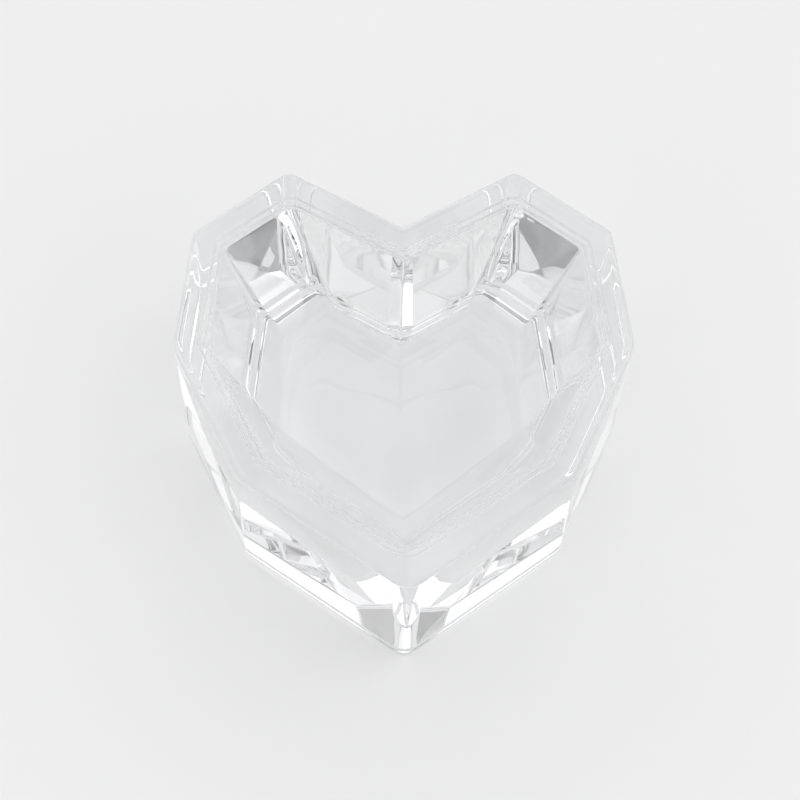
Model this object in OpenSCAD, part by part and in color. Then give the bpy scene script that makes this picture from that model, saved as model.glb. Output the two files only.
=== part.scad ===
// Faceted heart dish: one piece of thick clear pressed glass, open at the top.
// Millimetres, +Z up. The origin is the centre of the plane it rests on, the heart's
// point faces -Y, and everything is symmetric about the plane x = 0.

/* [Outside] */
// Overall width across the side corners
dish_w = 89.6; // [80:0.2:110]
// Overall height
dish_h = 38.6; // [34:0.2:44]
// Radius of the fire-polished edges along the rim and the base
edge_r = 1; // [0.5:0.1:1.5]

/* [Rim] */
// Width of the flat top of the wall
rim_w = 4.4; // [3.8:0.1:4.8]
// Width of the sloping lip inside that flat
lip_w = 2.2; // [1.6:0.1:2.8]
// Height lost across the lip
lip_drop = 1.1; // [0.6:0.1:1.6]

/* [Underside] */
// Width of the ring that the dish stands on
foot_w = 3; // [2:0.1:3.8]
// Depth of the hollow inside that ring
recess = 1; // [0.5:0.1:1.5]

/* [Hollow] */
// Height of the floor's centre line, its lowest part, above the table
floor_t = 7.1; // [5:0.1:9]
// Rise of the floor's two halves away from the centre line, in degrees
floor_rise = 6.6; // [3:0.1:8]
// Depth below the rim of the corner where the side facets meet
side_corner_depth = 18; // [14:0.5:20]
// Radius where the back facets run into the floor
back_fillet = 4.7; // [3:0.1:5.5]

/* [Hidden] */

// The design is drawn 89.56 mm wide over its rounded side corners, and every plan length
// follows the width.
plan = dish_w / 89.56;
floor_z = floor_t;
lip_z = dish_h - lip_drop;
above = 2;
below = 1;

// Right half of the outline, from the front point to the notch at the back.
half_outline = plan * [[0, -45.4], [32, -22.6], [45, 5], [41.8, 31.3], [23, 45.4], [0, 32.3]];
notch = len(half_outline) - 1;

// Right half of the floor's outline, from its front point to its notch.
half_floor = plan * [[0, -18.1], [25, 0.5], [23.3, 21.2], [12.7, 31.4], [0, 21.9]];
// The first corner of half_floor, counted from 0, that is filleted, and the fillet's steps.
first_filleted = 2;
ball_step = 22.5;

// Plan place of the corner, part-way down, where four side facets meet.
side_corner = plan * [28.6, 23.4];

// Corner radii of the lip's two lines, in the order of half_outline. The lines are
// blunt at the front point and at the back corners, as a mould leaves them.
lip_r = plan * [4.5, 1.5, 1.5, 1.5, 3.5, 0];
// Radii of the upright outer corners, in the same order. The notch stays a sharp crease.
outer_r = plan * [4.5, 3, 8, 2.5, 3, 0];
corner_steps = 4;
edge_steps = 3;

// Both halves of a symmetric outline, anticlockwise from its first point.
function both_halves(half) =
    let (last = len(half) - 1)
    concat(half, [for (i = [last - 1:-1:1]) [-half[i].x, half[i].y]]);

// Unit vector from a towards b.
function toward(a, b) = (b - a) / norm(b - a);

// Inward normal of the edge from a to b of an anticlockwise outline.
function inward(a, b) = let (t = toward(a, b)) [-t.y, t.x];

// Corner b of the outline a-b-c, moved in by d from both of its edges.
function inset_corner(a, b, c, d) =
    let (m = inward(a, b), n = inward(b, c))
    b + d * (m + n) / (1 + m * n);

// The corner before and after corner i of a closed outline.
function before(points, i) = points[(i + len(points) - 1) % len(points)];
function after(points, i) = points[(i + 1) % len(points)];

// The whole outline, moved in by d.
function inset(points, d) = [for (i = [0:len(points) - 1])
    inset_corner(before(points, i), points[i], after(points, i), d)];

// Corner b rounded to radius r, as an arc of points from edge a-b to edge b-c.
function rounded_corner(a, b, c, r) =
    let (m = inward(a, b), n = inward(b, c))
    let (centre = inset_corner(a, b, c, r))
    let (start = atan2(-m.y, -m.x), turn = acos(m * n))
    [for (k = [0:corner_steps]) centre + r * [cos(start + turn * k / corner_steps),
                                              sin(start + turn * k / corner_steps)]];

outline = both_halves(half_outline);

// Right half of a line that runs d inside the outline, its corners rounded to radii.
function half_line(d, radii) =
    let (line = inset(outline, d))
    [for (i = [0:notch])
        each [for (p = radii[i] == 0 ? [line[i]]
                     : rounded_corner(before(line, i), line[i], after(line, i), radii[i]))
            if (p.x > -0.001) p]];

// A flat outline lifted to height z.
function at_height(points, z) = [for (p = points) [p.x, p.y, z]];

// A point of the floor, which rises away from the centre line.
function on_floor(p) = [p.x, p.y, floor_z + p.x * tan(floor_rise)];

// The right half of a ball that rests on the floor, for the fillet around floor corner i.
function fillet_ball(i) =
    let (points = both_halves(half_floor))
    let (p = inset_corner(before(points, i), points[i], after(points, i), 0.7 * back_fillet))
    let (centre = on_floor(p) + [0, 0, back_fillet / cos(floor_rise)])
    [for (up = [-90:ball_step:0])
        each [for (around = [0:ball_step:359])
            let (q = centre + back_fillet * [cos(up) * cos(around), cos(up) * sin(around), sin(up)])
            if (q.x > -0.001 && (up > -90 || around == 0)) q]];

// The right half of the floor: sharp corners at the front, balls at the back.
function floor_points() = [for (i = [0:len(half_floor) - 1])
    each i < first_filleted ? [on_floor(half_floor[i])] : fillet_ball(i)];

// The smallest convex solid around some points.
module facets_around(points) {
    hull() polyhedron(points, [[for (i = [0:len(points) - 1]) i]]);
}

// Right half of the solid block, with its upright corners and its edges rounded.
module half_block() {
    facets_around([for (k = [0:edge_steps])
        let (turn = 90 * k / edge_steps)
        let (inside = edge_r * (1 - cos(turn)))
        let (ring = half_line(inside, [for (r = outer_r) max(0, r - inside)]))
        let (skin = edge_r * (1 - sin(turn)))
        each concat(at_height(ring, skin), at_height(ring, dish_h - skin))]);
}

// Right half of the hollow: the mouth, the sloping lip and the facets below it.
module half_hollow() {
    mouth = half_line(rim_w, lip_r);
    lip_foot = half_line(rim_w + lip_w, lip_r);
    translate([0, 0, dish_h]) linear_extrude(above) polygon(mouth);
    facets_around(concat(at_height(mouth, dish_h), at_height(lip_foot, lip_z)));
    facets_around(concat(
        at_height(lip_foot, lip_z),
        [[side_corner.x, side_corner.y, dish_h - side_corner_depth]],
        floor_points()));
}

// The shallow hollow under the base, which leaves a ring to stand on.
module underside() {
    translate([0, 0, -below]) linear_extrude(below + recess) polygon(inset(outline, foot_w));
}

// Place along Y half-way between the front point and the back corners, as drawn.
reach = [for (p = half_line(0, outer_r)) p.y];
middle_y = (max(reach) + min(reach)) / 2;

module heart_dish() {
    color([0.93, 0.95, 0.96, 0.35])
        translate([0, -middle_y, 0]) difference() {
            for (side = [0, 1]) mirror([side, 0, 0]) half_block();
            for (side = [0, 1]) mirror([side, 0, 0]) half_hollow();
            underside();
        }
}

heart_dish();
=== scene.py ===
"""A heart-shaped faceted dish of thick clear pressed glass, on a pale studio floor.

The CAD node is the plain solid. Here it is replaced by a finely divided skin of the same
shape, with the soft creases, rounded edges and slight waves of fire-polished pressed glass.
"""
import math

import bmesh
import bpy
import numpy as np
from mathutils import Matrix, Vector


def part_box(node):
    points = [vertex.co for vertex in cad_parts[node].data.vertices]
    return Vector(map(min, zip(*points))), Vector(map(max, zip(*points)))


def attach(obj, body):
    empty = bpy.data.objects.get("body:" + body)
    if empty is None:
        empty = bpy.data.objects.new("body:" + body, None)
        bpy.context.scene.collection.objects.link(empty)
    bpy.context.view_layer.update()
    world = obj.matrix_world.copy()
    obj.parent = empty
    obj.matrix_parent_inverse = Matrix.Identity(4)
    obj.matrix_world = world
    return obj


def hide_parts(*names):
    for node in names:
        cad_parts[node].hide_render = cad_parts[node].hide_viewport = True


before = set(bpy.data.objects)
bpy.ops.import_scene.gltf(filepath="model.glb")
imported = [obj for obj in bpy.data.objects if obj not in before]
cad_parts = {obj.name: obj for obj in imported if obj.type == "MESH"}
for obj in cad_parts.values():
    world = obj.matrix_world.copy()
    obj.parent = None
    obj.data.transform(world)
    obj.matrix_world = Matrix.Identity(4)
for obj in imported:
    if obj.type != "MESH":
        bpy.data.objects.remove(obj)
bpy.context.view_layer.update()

# ---- The dish, in millimetres, before it is fitted to the CAD part's box ---------------------
# Right half of the outline, from the front point round to the notch.
OUTLINE = [(0, -45.4), (32, -22.6), (45, 5), (41.8, 31.3), (23, 45.4), (0, 32.3)]
NOTCH = len(OUTLINE) - 1
# Corner radii of the wall and of the lip, in the order of OUTLINE. The notch stays sharp.
OUTER_RADII = [4.5, 3.0, 8.0, 2.5, 3.0, 0.0]
LIP_RADII = [4.5, 1.5, 1.5, 1.5, 3.5, 0.0]
# Right half of the floor's outline, from its front point to its notch.
FLOOR = [(0, -18.1), (25, 0.5), (23.3, 21.2), (12.7, 31.4), (0, 21.9)]
FLOOR_THICKNESS = 7.1                     # on the centre line, where the floor is lowest
FLOOR_RISE = math.tan(math.radians(6.6))  # slope of the floor's halves, up from that line
# Place, and depth below the rim, of the corner where the side facets meet.
SIDE_CORNER = (28.6, 23.4)
SIDE_CORNER_DEPTH = 18.0
RIM_WIDTH = 4.4          # the flat top of the wall
LIP_WIDTH = 2.2          # the lip inside the rim
LIP_DROP = 1.1           # height lost across the lip
LIP_STEP = 0.24          # share of the lip's width taken by each of its two soft steps
LIP_MARGIN = 0.10        # share of the lip's width outside the first step and inside the last
EDGE_RADIUS = 1.0        # along the outer edges of the rim and the base
FOOT_WIDTH = 2.6         # from the outline to the inside of the ring that the dish stands on
FOOT_SLOPE = 0.8         # width of the slope from that ring up into the recess
RECESS = 1.0             # depth of the recess under the base
UNDER_RADIUS = 0.4       # least corner radius of the lines under the base, but for the notch

# ---- How soft the glass is ------------------------------------------------------------------
FRONT_FILLET = 0.9       # mm, radius where the front and side facets run into the floor
BACK_FILLET = 5.0        # mm, the same at the back wall
FILLET_GROWS = (10, 22)  # mm, places along Y between which the one grows into the other
FACET_SOFTNESS = 0.05    # mm, between neighbouring facets
LIP_SOFTNESS = 0.15      # mm of height, at the two lines of the lip
AXIS_SOFTNESS = 0.30     # mm, across the crease on the centre line

# ---- How finely the skin is divided ---------------------------------------------------------
CORNER_STEPS = 6
EDGE_STEPS = 48
ROUND_STEPS = 6
FOOT_STEPS = 8
WALL_STEPS = 5
RIM_STEPS = 6
LIP_STEPS = 26
HOLLOW_STEPS = 120
HOLLOW_CENTRE = np.array([0.0, 4.0])  # mm, the point that the hollow's rings close in on
HOLLOW_CROWDING = 1.6    # above 1, the hollow's rings are closer together near the lip
FAR_INSIDE = 30.0        # mm inside the outline, where the lip no longer counts
# The hollow's height is found between a facet and this many fillet radii above it, by
# halving that span over and over.
SEARCH_RADII = 2.5
HALVINGS = 34
FACES_DOWN = -0.02       # upward part of a unit normal, below which a face looks down
ON_AXIS = 0.001          # mm, how far a point meant for the centre line may be off it

# ---- Glass -----------------------------------------------------------------------------------
GLASS_TINT = (0.930, 0.934, 0.937, 1)
GLASS_IOR = 1.5
WAVE_SCALE = 70          # of the slow waves of a pressed surface
WAVE_STRENGTH = 0.06
WAVE_DEPTH = 0.001       # metres
POLISH_SCALE = 220       # of the patches of fainter polish
POLISH_RANGE = (0.45, 0.80)       # values of its noise, from full polish to the faintest
DULLEST = 0.03           # roughness of the faintest polish

# ---- Floor and light -------------------------------------------------------------------------
FLOOR_HALF = 3.0         # metres, half the width of the studio floor
FLOOR_GAP = 0.00005      # metres, from the floor up to the dish
FLOOR_COLOUR = (0.91, 0.91, 0.905, 1)
# Places from the horizon (0) to straight up (1), and the brightness of the room there.
ROOM = [(0.0, 0.46), (0.12, 0.40), (0.20, 0.15), (0.36, 0.17), (0.48, 0.88), (1.0, 0.94)]
ROOM_BLUE = 1.01         # the room's blue, as a share of its red and green
WINDOW = (0.60, 0.62, 0.50)       # direction of the brightest part of the room
WINDOW_SPREAD = (-0.40, 0.98)     # cosines of the angle from it, from dimmest to brightest
WINDOW_LIGHT = (0.84, 1.40)       # what the room's brightness is multiplied by there
PANEL_SCALE = 3.0        # of the room's unevenness
PANEL_RANGE = (0.35, 0.65)        # values of its noise
PANEL_LIGHT = (0.85, 1.25)        # what the room's brightness is multiplied by at those
BOUNCES = 24             # the glass has many faces, and light reaches the floor through it

# ---- Camera ----------------------------------------------------------------------------------
ELEVATION = 64           # degrees
AZIMUTH = 2.83           # degrees, round to the dish's left
ROLL = 2.37              # degrees
CAMERA_DISTANCE = 0.3883
CAMERA_AIM = Vector((-0.0009, -0.0041, 0.0333))
LENS = 90                # millimetres, for a sensor 36 mm wide


def both_halves(half):
    """The whole symmetric outline, anticlockwise, from its right half."""
    return [Vector(p) for p in half] + [Vector((-x, y)) for x, y in reversed(half[1:-1])]


def both_radii(half):
    """The radii of every corner of a symmetric outline, from those of its right half."""
    return list(half) + list(reversed(half[1:-1]))


def inward(a, b):
    """Unit normal of the edge a-b, pointing into an anticlockwise outline."""
    along = (b - a).normalized()
    return Vector((-along.y, along.x))


def inset_corner(a, b, c, d):
    """Corner b of the outline a-b-c, moved in by d from both of its edges."""
    m, n = inward(a, b), inward(b, c)
    return b + (m + n) * (d / (1 + m.dot(n)))


def inset(points, d):
    """A closed outline, moved in by d."""
    count = len(points)
    return [inset_corner(points[i - 1], points[i], points[(i + 1) % count], d)
            for i in range(count)]


def rounded_corner(a, b, c, radius):
    """Corner b of the outline a-b-c as an arc of points, from edge a-b to edge b-c."""
    m, n = inward(a, b), inward(b, c)
    centre = inset_corner(a, b, c, radius)
    start = math.atan2(-m.y, -m.x)
    turn = math.acos(max(-1, min(1, m.dot(n))))
    angles = [start + turn * k / CORNER_STEPS for k in range(CORNER_STEPS + 1)]
    return [centre + radius * Vector((math.cos(angle), math.sin(angle))) for angle in angles]


def eased(steps):
    """Fractions strictly between 0 and 1, close together near both ends."""
    return [0.5 - 0.5 * math.cos(math.pi * k / steps) for k in range(1, steps)]


def ring(d, radii):
    """A closed line d inside the outline, with rounded corners.

    Every ring has the same number of points, so one ring joins to the next.
    """
    line = inset(both_halves(OUTLINE), d)
    count = len(line)
    corners = []
    for i in range(count):
        if radii[i] > 0:
            corners.append(rounded_corner(line[i - 1], line[i], line[(i + 1) % count], radii[i]))
        else:
            corners.append([line[i]] * (1 if i == NOTCH else CORNER_STEPS + 1))
    points = []
    for i in range(count):
        points += corners[i]
        start, end = corners[i][-1], corners[(i + 1) % count][0]
        points += [start.lerp(end, f) for f in eased(EDGE_STEPS)]
    return np.array([(p.x, p.y) for p in points])


def hollow_planes(lip_foot, depth_of_floor):
    """Planes of the hollow's right half: the faces of the convex hull of its corners.

    A plane is (a, b, c), for a height of a x + b y + c over the rim's top, which is negative
    in the hollow. The planes go from steep to flat, so the floor is the last.
    """
    half = [(x, y, -LIP_DROP) for x, y in lip_foot if x > -ON_AXIS]
    half.append((*SIDE_CORNER, -SIDE_CORNER_DEPTH))
    half += [(x, y, -depth_of_floor + x * FLOOR_RISE) for x, y in FLOOR]
    shape = bmesh.new()
    verts = [shape.verts.new(p) for p in half]
    bmesh.ops.convex_hull(shape, input=verts)
    centre = sum((v.co for v in shape.verts), Vector()) / len(shape.verts)
    planes = []
    for face in shape.faces:
        face.normal_update()
        outward = face.normal.dot(face.calc_center_median() - centre) > 0
        n = face.normal if outward else -face.normal
        if n.z < FACES_DOWN:
            at = face.verts[0].co
            planes.append((-n.x / n.z, -n.y / n.z, n.dot(at) / n.z))
    shape.free()
    planes = np.unique(np.round(planes, 5), axis=0)
    steepness = np.hypot(planes[:, 0], planes[:, 1])
    return planes[np.argsort(-steepness)]


def soft_max(values, softness):
    """The largest value of each column, with a smooth change from one row to the next."""
    top = values.max(axis=0)
    return top + softness * np.log(np.exp((values - top) / softness).sum(axis=0))


def hollow_height(xy, planes):
    """Height of the hollow's surface over the rim's top, so a negative one.

    The hollow is the space inside every facet. A point's distance outside a facet is taken
    square to it, neighbouring facets meet softly, and they run into the floor with a fillet.
    """
    x = np.sqrt(xy[:, 0] ** 2 + AXIS_SOFTNESS ** 2)

    def height_of(plane):
        return plane[0] * x + plane[1] * xy[:, 1] + plane[2]

    def square(plane):
        return 1 / math.sqrt(1 + plane[0] ** 2 + plane[1] ** 2)

    side_heights = np.stack([height_of(p) for p in planes[:-1]])
    side_square = np.array([square(p) for p in planes[:-1]])[:, None]
    floor_height = height_of(planes[-1])
    floor_square = square(planes[-1])
    fillet = np.interp(xy[:, 1], FILLET_GROWS, (FRONT_FILLET, BACK_FILLET))
    low = np.maximum(side_heights.max(axis=0), floor_height)
    high = low + SEARCH_RADII * fillet
    for _ in range(HALVINGS):
        z = 0.5 * (low + high)
        side = soft_max((side_heights - z) * side_square, FACET_SOFTNESS)
        floor = (floor_height - z) * floor_square
        u, v = np.maximum(fillet + side, 0), np.maximum(fillet + floor, 0)
        outside = np.minimum(-fillet, np.maximum(side, floor)) + np.hypot(u, v) > 0
        low, high = np.where(outside, z, low), np.where(outside, high, z)
    return 0.5 * (low + high)


def smooth_step(value):
    """0 below 0, 1 above 1, and a smooth change between them."""
    share = np.clip(value, 0, 1)
    return share * share * (3 - 2 * share)


def lip_height(d):
    """Height of the lip d inside the outline: two soft steps down, then a plain slope."""
    share = (d - RIM_WIDTH) / LIP_WIDTH
    first = smooth_step((share - LIP_MARGIN) / LIP_STEP)
    second = smooth_step((share - (1 - LIP_MARGIN) + LIP_STEP) / LIP_STEP)
    return -LIP_DROP * (0.5 * first + 0.5 * second + np.maximum(0, share - 1))


def inner_height(line, d, height, planes):
    """Height of the rim, lip or hollow at points d inside the outline, whichever is lowest."""
    flat = np.zeros(len(line))
    lip = np.broadcast_to(lip_height(d), len(line))
    wall = hollow_height(line, planes)
    return height - soft_max(-np.stack([flat, lip, wall]), LIP_SOFTNESS)


def lifted(line, z):
    """A flat line of points at height z, which is one height or one for each point."""
    return np.column_stack([line, np.broadcast_to(z, len(line))])


def underside_rings():
    """From the recess under the base, down its slope to the ring that the dish stands on."""
    def line(d):
        return ring(d, [max(UNDER_RADIUS, r - d) if r else 0 for r in both_radii(OUTER_RADII)])

    rings = []
    for k in range(FOOT_STEPS, -1, -1):
        share = k / FOOT_STEPS
        rings.append(lifted(line(FOOT_WIDTH + FOOT_SLOPE * share), RECESS * smooth_step(share)))
    rings.append(lifted(line(0.5 * (FOOT_WIDTH + EDGE_RADIUS)), 0))
    return rings


def rounded_edge(k):
    """Ring k of the round outer edge, 0 at the wall, and its distance from the flat."""
    turn = 0.5 * math.pi * k / ROUND_STEPS
    inside = EDGE_RADIUS * (1 - math.cos(turn))
    radii = [max(0, r - inside) for r in both_radii(OUTER_RADII)]
    return ring(inside, radii), EDGE_RADIUS * (1 - math.sin(turn))


def wall_rings(height):
    """Up the outside, from the rounded edge of the base to the rounded edge of the rim."""
    edge = [rounded_edge(k) for k in range(ROUND_STEPS + 1)]
    side = ring(0, both_radii(OUTER_RADII))
    rise = height - 2 * EDGE_RADIUS
    lower = [lifted(line, z) for line, z in reversed(edge)]
    middle = [lifted(side, EDGE_RADIUS + rise * k / WALL_STEPS) for k in range(1, WALL_STEPS)]
    upper = [lifted(line, height - z) for line, z in edge]
    return lower + middle + upper


def rim_rings(height, planes):
    """Across the flat rim and down the lip. The corners change from the wall's to the lip's."""
    rim = [EDGE_RADIUS + (RIM_WIDTH - EDGE_RADIUS) * k / RIM_STEPS
           for k in range(1, RIM_STEPS + 1)]
    lip = [RIM_WIDTH + LIP_WIDTH * k / LIP_STEPS for k in range(1, LIP_STEPS + 1)]
    pairs = list(zip(both_radii(OUTER_RADII), both_radii(LIP_RADII)))
    rings = []
    for d in rim + lip:
        share = min(1, (d - EDGE_RADIUS) / (RIM_WIDTH - EDGE_RADIUS))
        line = ring(d, [max(0, r - EDGE_RADIUS) * (1 - share) + s * share for r, s in pairs])
        rings.append(lifted(line, inner_height(line, d, height, planes)))
    return rings


def hollow_rings(lip_foot, height, planes):
    """From the foot of the lip, closing in on the middle of the hollow."""
    rings = []
    for k in range(1, HOLLOW_STEPS):
        share = 1 - (k / HOLLOW_STEPS) ** HOLLOW_CROWDING
        line = HOLLOW_CENTRE + (lip_foot - HOLLOW_CENTRE) * share
        d = RIM_WIDTH + LIP_WIDTH + np.linalg.norm(lip_foot - line, axis=1)
        rings.append(lifted(line, inner_height(line, d, height, planes)))
    return rings


def dish_rings(height):
    """All rings of the skin, from under the base to the hollow, and the hollow's middle."""
    lip_foot = ring(RIM_WIDTH + LIP_WIDTH, both_radii(LIP_RADII))
    planes = hollow_planes(lip_foot, height - FLOOR_THICKNESS)
    rings = underside_rings() + wall_rings(height) + rim_rings(height, planes)
    rings += hollow_rings(lip_foot, height, planes)
    z = inner_height(HOLLOW_CENTRE[None, :], FAR_INSIDE, height, planes)
    return rings, (*HOLLOW_CENTRE, float(z[0]))


def skin_mesh(name, rings, middle, scale, shift):
    """One closed mesh from rings of equal length, a flat base and a middle point."""
    count = len(rings[0])
    points = np.vstack(rings + [np.array([middle])])
    faces = [tuple(range(count - 1, -1, -1))]
    for r in range(len(rings) - 1):
        low, high = r * count, (r + 1) * count
        for i in range(count):
            j = (i + 1) % count
            faces.append((low + i, low + j, high + j, high + i))
    last, tip = (len(rings) - 1) * count, len(points) - 1
    faces += [(last + i, last + (i + 1) % count, tip) for i in range(count)]
    mesh = bpy.data.meshes.new(name)
    mesh.from_pydata([tuple(p) for p in points * scale + shift], [], faces)
    mesh.validate()
    mesh.update()
    # The face under the base has many corners and stays flat; all the others are smooth.
    for polygon in mesh.polygons:
        polygon.use_smooth = len(polygon.vertices) < 5
    piece = bpy.data.objects.new(name, mesh)
    bpy.context.scene.collection.objects.link(piece)
    return piece


def set_range(node, end, values):
    """Sets the lower and upper limit of one end, From or To, of a Map Range node."""
    node.inputs[end + " Min"].default_value = values[0]
    node.inputs[end + " Max"].default_value = values[1]


def clear_glass():
    """Clear pressed glass, fire-polished: all but smooth, with slow waves and uneven polish."""
    material = bpy.data.materials.new("clear_glass")
    material.use_nodes = True
    nodes, links = material.node_tree.nodes, material.node_tree.links
    glass = nodes["Principled BSDF"]
    glass.inputs["Base Color"].default_value = GLASS_TINT
    glass.inputs["IOR"].default_value = GLASS_IOR
    glass.inputs["Transmission Weight"].default_value = 1.0
    place = nodes.new("ShaderNodeTexCoord")
    slow = nodes.new("ShaderNodeTexNoise")
    slow.inputs["Scale"].default_value = WAVE_SCALE
    slow.inputs["Detail"].default_value = 1.0
    bump = nodes.new("ShaderNodeBump")
    bump.inputs["Strength"].default_value = WAVE_STRENGTH
    bump.inputs["Distance"].default_value = WAVE_DEPTH
    polish = nodes.new("ShaderNodeTexNoise")
    polish.inputs["Scale"].default_value = POLISH_SCALE
    polish.inputs["Detail"].default_value = 3.0
    haze = nodes.new("ShaderNodeMapRange")
    set_range(haze, "From", POLISH_RANGE)
    set_range(haze, "To", (0, DULLEST))
    links.new(place.outputs["Object"], slow.inputs["Vector"])
    links.new(slow.outputs["Fac"], bump.inputs["Height"])
    links.new(bump.outputs["Normal"], glass.inputs["Normal"])
    links.new(place.outputs["Object"], polish.inputs["Vector"])
    links.new(polish.outputs["Fac"], haze.inputs["Value"])
    links.new(haze.outputs["Result"], glass.inputs["Roughness"])
    return material


def make_dish():
    """The glass skin, scaled and moved to fill the CAD part's box."""
    low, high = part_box("heart_dish")
    drawn = ring(0, both_radii(OUTER_RADII))
    scale = (high[0] - low[0]) / np.ptp(drawn[:, 0])
    rings, middle = dish_rings((high[2] - low[2]) / scale)
    drawn_middle = 0.5 * (drawn[:, 1].max() + drawn[:, 1].min())
    shift = (0, 0.5 * (low[1] + high[1]) - scale * drawn_middle, low[2])
    piece = skin_mesh("heart_dish_glass", rings, middle, scale, shift)
    piece.data.materials.append(clear_glass())
    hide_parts("heart_dish")
    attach(piece, "root")


def make_floor():
    """The pale studio floor, a hair below the dish."""
    mesh = bpy.data.meshes.new("floor")
    s = FLOOR_HALF
    corners = [(-s, -s), (s, -s), (s, s), (-s, s)]
    mesh.from_pydata([(x, y, -FLOOR_GAP) for x, y in corners], [], [(0, 1, 2, 3)])
    floor = bpy.data.objects.new("floor", mesh)
    bpy.context.scene.collection.objects.link(floor)
    material = bpy.data.materials.new("pale_floor")
    material.use_nodes = True
    shader = material.node_tree.nodes["Principled BSDF"]
    shader.inputs["Base Color"].default_value = FLOOR_COLOUR
    shader.inputs["Roughness"].default_value = 0.85
    shader.inputs["Specular IOR Level"].default_value = 0.1
    mesh.materials.append(material)


def room_by_height(nodes):
    """A ramp from the horizon to straight up, with the room's darker band."""
    room = nodes.new("ShaderNodeValToRGB")
    stops = room.color_ramp.elements
    while len(stops) < len(ROOM):
        stops.new(0.5)
    for stop, (rise, light) in zip(stops, ROOM):
        stop.position = rise
        stop.color = (light, light, light * ROOM_BLUE, 1)
    return room


def light_studio():
    """A bright room with a darker band part-way up, brightest at the back right."""
    world = bpy.data.worlds.new("studio")
    bpy.context.scene.world = world
    world.use_nodes = True
    nodes, links = world.node_tree.nodes, world.node_tree.links
    place = nodes.new("ShaderNodeTexCoord")
    split = nodes.new("ShaderNodeSeparateXYZ")
    room = room_by_height(nodes)
    toward = nodes.new("ShaderNodeVectorMath")
    toward.operation = "DOT_PRODUCT"
    toward.inputs[1].default_value = Vector(WINDOW).normalized()
    window = nodes.new("ShaderNodeMapRange")
    window.interpolation_type = "SMOOTHSTEP"
    set_range(window, "From", WINDOW_SPREAD)
    set_range(window, "To", WINDOW_LIGHT)
    total = nodes.new("ShaderNodeMix")
    total.data_type = "RGBA"
    total.blend_type = "MULTIPLY"
    total.inputs["Factor"].default_value = 1.0
    panels = nodes.new("ShaderNodeTexNoise")
    panels.inputs["Scale"].default_value = PANEL_SCALE
    panels.inputs["Detail"].default_value = 1.0
    uneven = nodes.new("ShaderNodeMapRange")
    set_range(uneven, "From", PANEL_RANGE)
    set_range(uneven, "To", PANEL_LIGHT)
    links.new(place.outputs["Generated"], panels.inputs["Vector"])
    links.new(panels.outputs["Fac"], uneven.inputs["Value"])
    links.new(uneven.outputs["Result"], nodes["Background"].inputs["Strength"])
    links.new(place.outputs["Generated"], split.inputs["Vector"])
    links.new(split.outputs["Z"], room.inputs["Fac"])
    links.new(place.outputs["Generated"], toward.inputs[0])
    links.new(toward.outputs["Value"], window.inputs["Value"])
    links.new(room.outputs["Color"], total.inputs["A"])
    links.new(window.outputs["Result"], total.inputs["B"])
    links.new(total.outputs["Result"], nodes["Background"].inputs["Color"])


def place_camera():
    """Looks down at the dish from in front, a little to its left and rolled a little."""
    elevation, azimuth, roll = (math.radians(a) for a in (ELEVATION, AZIMUTH, ROLL))
    forward = Vector((0, math.cos(elevation), -math.sin(elevation)))
    up = Vector((0, math.sin(elevation), math.cos(elevation)))
    right = Vector((1, 0, 0))
    turn = Matrix.Rotation(-azimuth, 3, "Z")
    x_axis = turn @ (math.cos(roll) * right + math.sin(roll) * up)
    y_axis = turn @ (math.cos(roll) * up - math.sin(roll) * right)
    back = -(turn @ forward)
    data = bpy.data.cameras.new("camera")
    data.sensor_width = 36
    data.lens = LENS
    data.clip_start = 0.01
    camera = bpy.data.objects.new("camera", data)
    matrix = Matrix((x_axis, y_axis, back)).transposed().to_4x4()
    matrix.translation = CAMERA_AIM + back * CAMERA_DISTANCE
    camera.matrix_world = matrix
    bpy.context.scene.collection.objects.link(camera)
    bpy.context.scene.camera = camera


def set_light_paths():
    """Lets light through the glass to the floor and back, with nothing clamped or blurred."""
    scene = bpy.context.scene
    scene.view_settings.view_transform = "Standard"
    scene.cycles.max_bounces = BOUNCES
    scene.cycles.transmission_bounces = BOUNCES
    scene.cycles.glossy_bounces = BOUNCES
    scene.cycles.transparent_max_bounces = BOUNCES
    scene.cycles.diffuse_bounces = BOUNCES
    scene.cycles.blur_glossy = 0.0
    scene.cycles.sample_clamp_indirect = 0.0
    scene.cycles.caustics_reflective = True
    scene.cycles.caustics_refractive = True


place_camera()
make_dish()
make_floor()
light_studio()
set_light_paths()
